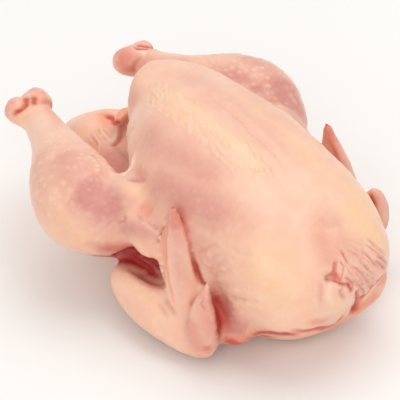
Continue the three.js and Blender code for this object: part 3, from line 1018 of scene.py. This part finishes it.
# %% Rows of roots along the keel
ROWS = ((3.6, 0.9), (0.4, 1.0), (-2.8, 1.0), (-9.5, 0.5), (-13.0, 0.35))  # mm from the keel, and strength
ROW_SPACING = 3.1  # mm from root to root in a row
ROW_TAPER = 0.35  # how late a row fades at its ends
ROOT_DRIFT = 0.8  # mm
SHADE_STEP = (1.2, 1.1, 0)  # mm from a root to its shade
for aside, faint in ROWS:
    path = np.array(keel, float) + (0, aside, 0)
    total = np.linalg.norm(np.diff(path, axis=0), axis=1).sum()
    for run in np.linspace(0.02, 0.98, round(total / ROW_SPACING)):
        place = curve(path, np.array([run]))[0] + rng.normal(0, ROOT_DRIFT, 3)
        lean = np.array([rng.uniform(2.8, 4.2), rng.uniform(-2.6, -0.8), 0])
        tall = rng.uniform(0.45, 1.0) * faint * math.sin(math.pi * run) ** ROW_TAPER
        stroke(
            [place - lean / 2, place, place + lean / 2],
            1.0, 1.7 * tall, even=True, fat=1.0 * tall, root=1.0 * tall,
        )
        beside = place + SHADE_STEP
        stroke(
            [beside - lean / 2, beside, beside + lean / 2],
            0.8, -0.8 * tall, even=True, flesh=0.45 * tall,
        )
settle("feather roots")

# %% [markdown]
# ## Keep the paint
# The paint is one number on each vertex. It could be baked into a picture, but the skin has no UV map and
# needs none: a float attribute on the mesh holds each paint, and the finish reads it by its name.

# %% Keep the paint on the skin
paint["fold"] = fold
for name, values in paint.items():
    layer = skin.data.attributes.new(name, "FLOAT", "POINT")
    layer.data.foreach_set("value", np.clip(values, 0, 1).astype(np.float32))
skin.data.shade_smooth()
print("paints", sorted(paint))

# %% [markdown]
# ## The skin's finish
# Raw chicken skin is moist and a little see-through: light goes in, meets flesh, and comes back warmer.
# The bird was scalded and plucked, so its skin is clean, soft and thinly wet, with no dry or burnt place.
# One picture of skin wrapped round it would stretch at the wings. Here each kind of tissue is one colour,
# the paints say how much of it shows, and noise in two sizes breaks up every edge between them.


# %% Nodes and colours
def linear(hex_colour):
    """An sRGB hex colour as linear light."""
    values = [int(hex_colour[k : k + 2], 16) / 255 for k in (1, 3, 5)]
    return [v / 12.92 if v < 0.04045 else ((v + 0.055) / 1.055) ** 2.4 for v in values] + [1.0]


def add(tree, kind, links=(), inputs=(), **settings):
    """Adds a node with its settings, the values of its inputs and the outputs linked to them."""
    node = tree.nodes.new(kind)
    for name, value in settings.items():
        setattr(node, name, value)
    for socket, value in dict(inputs).items():
        node.inputs[socket].default_value = value
    for socket, output in dict(links).items():
        tree.links.new(output, node.inputs[socket])
    return node


print("white as linear light", linear("#ffffff"))

# %% Tissue colours
PALE_SKIN = "#f5c8ae"
PINK_SKIN = "#edb59c"  # blotches of the same skin with more blood in it
SHADE_OF_FOLDS = "#b8493a"  # light that comes back from other flesh nearby
ROOT_SKIN = "#fad6b8"  # pale fat that fills a feather root
TISSUES = (  # name of the paint, colour, and how much of the skin it can hide
    ("fat", "#f9cd9f", 0.95),  # yellow fat under thin skin
    ("flesh", "#cd857c", 0.87),  # mauve muscle under thin skin, and painted shade in hollows and creases
    ("orange", "#f49a70", 0.85),  # warm fat of the tail and the wing tips
    ("pale", "#fadcc9", 0.9),  # loose skin with nothing behind it
    ("cut", "#efaa9c", 0.9),  # wet gristle of the cut joint
    ("red", "#cf4a38", 0.95),  # fresh blood in thin skin and along its edges, and painted shade in narrow gaps
    ("blood", "#ac2a20", 1.0),  # raw red flesh in the gaps, and painted shade there
)
print("tissues", [name for name, tissue, most in TISSUES])

# %% Helpers for raw chicken skin
raw_skin = bpy.data.materials.new("raw chicken skin")
raw_skin.use_nodes = True
nodes = raw_skin.node_tree
shader = nodes.nodes["Principled BSDF"]
where = add(nodes, "ShaderNodeTexCoord").outputs["Object"]


def weight_of(name):
    """How much of a paint each place has."""
    return add(nodes, "ShaderNodeAttribute", attribute_name=name).outputs["Fac"]


def maths(operation, first, second):
    """A Math node. Each side is an output or a number."""
    node = add(nodes, "ShaderNodeMath", operation=operation)
    for socket, value in enumerate((first, second)):
        if isinstance(value, bpy.types.NodeSocket):
            nodes.links.new(value, node.inputs[socket])
        else:
            node.inputs[socket].default_value = value
    return node.outputs[0]


def mix(amount, under, over):
    """The colour under, with the colour over on it by amount."""
    node = add(nodes, "ShaderNodeMix", {0: amount}, data_type="RGBA")
    for socket, value in ((6, under), (7, over)):
        if isinstance(value, bpy.types.NodeSocket):
            nodes.links.new(value, node.inputs[socket])
        else:
            node.inputs[socket].default_value = linear(value)
    return node.outputs[2]


# %% Colour of raw chicken skin
BLOTCH = 16  # mm, as wide as the blotches of real skin
BLOTCH_STRENGTH = 0.6
# how strongly the painted shade of folds shows
FOLD_SHADE_STRENGTH = 0.4
ROOT_STRENGTH = 0.55
GRAIN = 4.5  # mm. The net of fine wrinkles in real skin is under 1 mm wide, drawn coarser so that it shows
mottle = add(
    nodes, "ShaderNodeTexNoise", {"Vector": where},
    {"Scale": 1 / (BLOTCH * MM), "Detail": 5.0, "Roughness": 0.6},
)
fine = add(
    nodes, "ShaderNodeTexNoise", {"Vector": where},
    {"Scale": 1 / (GRAIN * MM), "Detail": 4.0, "Roughness": 0.65},
)
patchy = add(
    nodes, "ShaderNodeMapRange", {"Value": mottle.outputs["Fac"]}, {"From Min": 0.35, "From Max": 0.65},
).outputs[0]
colour = mix(maths("MULTIPLY", patchy, BLOTCH_STRENGTH), PALE_SKIN, PINK_SKIN)
for name, tissue, most in TISSUES:
    uneven = maths("ADD", maths("MULTIPLY", fine.outputs["Fac"], 0.5), 0.75)
    amount = maths("MULTIPLY", maths("MULTIPLY", weight_of(name), uneven), most)
    colour = mix(maths("MINIMUM", amount, 1.0), colour, tissue)
# Painted shade in the folds
colour = mix(maths("MULTIPLY", weight_of("fold"), FOLD_SHADE_STRENGTH), colour, SHADE_OF_FOLDS)
colour = mix(maths("MULTIPLY", weight_of("root"), ROOT_STRENGTH), colour, ROOT_SKIN)
nodes.links.new(colour, shader.inputs["Base Color"])

# %% Wetness and depth of raw chicken skin
WET_SKIN = {
    "Roughness": 0.38,  # moist skin spreads a highlight widely
    "IOR": 1.4,  # between water, 1.33, and fat, 1.46
    "Subsurface Weight": 0.35,  # how much of the light goes in
    "Subsurface Radius": (1.0, 0.35, 0.2),  # red light goes deepest into flesh
    "Subsurface Scale": 3 * MM,  # as deep as the skin and the fat under it
    "Coat Weight": 0.2,  # the thin film of water
    "Coat Roughness": 0.2,
}
for socket, value in WET_SKIN.items():
    shader.inputs[socket].default_value = value
GRAIN_HEIGHT = 0.6  # mm
bumps = add(
    nodes, "ShaderNodeBump", {"Height": fine.outputs["Fac"]},
    {"Strength": 0.4, "Distance": GRAIN_HEIGHT * MM},
)
nodes.links.new(bumps.outputs[0], shader.inputs["Normal"])
skin.data.materials.append(raw_skin)
print("raw chicken skin", len(nodes.nodes), "nodes")

# %% [markdown]
# ## The skin stands for the solid
# The CAD solid stays for weight and contact, and the skin takes its place for the eye.

# %% The skin stands for the solid
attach(skin, "root")
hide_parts("chicken")
print("skin stands for the solid, with", len(skin.data.polygons), "faces")

# %% [markdown]
# ## Floor
# The bird lies on a pale studio board. Pressed card with a matt coat has no gloss, so only soft shade shows.
# A curved backdrop would do as well, but the camera looks down so far that a flat floor fills its view.

# %% Floor
FLOOR_SIZE = 8  # m
board = bpy.data.materials.new("matt white board")
board.use_nodes = True
board_shader = board.node_tree.nodes["Principled BSDF"]
board_shader.inputs["Base Color"].default_value = linear("#f4f2ef")
board_shader.inputs["Roughness"].default_value = 0.8
bpy.ops.mesh.primitive_plane_add(size=FLOOR_SIZE, location=(0, 0, -0.4 * MM))
floor = bpy.context.object
floor.name = "floor"
floor.data.materials.append(board)
print("floor", FLOOR_SIZE, "m wide")

# %% [markdown]
# ## Light
# The photograph's shadows are faint and soft, as in a tent of white cloth. An even white world is that tent.
# Alone it would flatten the folds, so two wide softboxes, overhead and by the camera, shape them a little.

# %% Light from all sides
TENT_LIGHT = 0.73
world = bpy.context.scene.world or bpy.data.worlds.new("studio")
bpy.context.scene.world = world
world.use_nodes = True
tent = world.node_tree.nodes["Background"]
tent.inputs["Color"].default_value = linear("#ffffff")
tent.inputs["Strength"].default_value = TENT_LIGHT
print("light from all sides", TENT_LIGHT)


# %% Softboxes
MIDDLE = Vector((0, 0, 0.05))  # m, where the softboxes point


def softbox(name, place, size, power):
    """A square light, size m wide, that points at the middle of the bird."""
    light = bpy.data.lights.new(name, "AREA")
    light.size = size
    light.energy = power
    lamp = bpy.data.objects.new(name, light)
    lamp.location = place
    lamp.rotation_mode = "QUATERNION"
    lamp.rotation_quaternion = (MIDDLE - Vector(place)).to_track_quat("-Z", "Y")
    bpy.context.collection.objects.link(lamp)
    print(name, power, "W")


softbox("softbox over the bird", (-0.1, 0.35, 1.4), 1.2, 7.5)
softbox("softbox by the camera", (0.9, -1.1, 0.9), 1.0, 6)

# %% [markdown]
# ## Camera
# The angle comes from pairs of points that a bird has on both sides, such as the hocks and the knees.
# A near camera would swell the neck end, and the photograph shows little of that, so it stands well back
# with a long lens, which is worked out from how many mm of bird one pixel of the photograph covers.

# %% Camera
AZIMUTH, ELEVATION = math.radians(48), math.radians(37)
DISTANCE = 1.5  # m
AIM = Vector((-0.020, 0, 0.042))  # m, the middle of the picture
PHOTO_WIDTH = 400  # pixels
PIXEL = 0.63  # mm of bird in one pixel
SENSOR = 36  # mm
back_way = Vector(
    (math.sin(AZIMUTH) * math.cos(ELEVATION), -math.cos(AZIMUTH) * math.cos(ELEVATION), math.sin(ELEVATION))
)
camera_data = bpy.data.cameras.new("camera")
camera_data.sensor_width = SENSOR
camera_data.lens = SENSOR * DISTANCE / (PHOTO_WIDTH * PIXEL * MM)
camera = bpy.data.objects.new("camera", camera_data)
camera.location = AIM + back_way * DISTANCE
camera.rotation_mode = "QUATERNION"
camera.rotation_quaternion = (-back_way).to_track_quat("-Z", "Y")
bpy.context.collection.objects.link(camera)
bpy.context.scene.camera = camera
bpy.context.scene.view_settings.view_transform = "Standard"
print("lens", round(camera_data.lens), "mm")
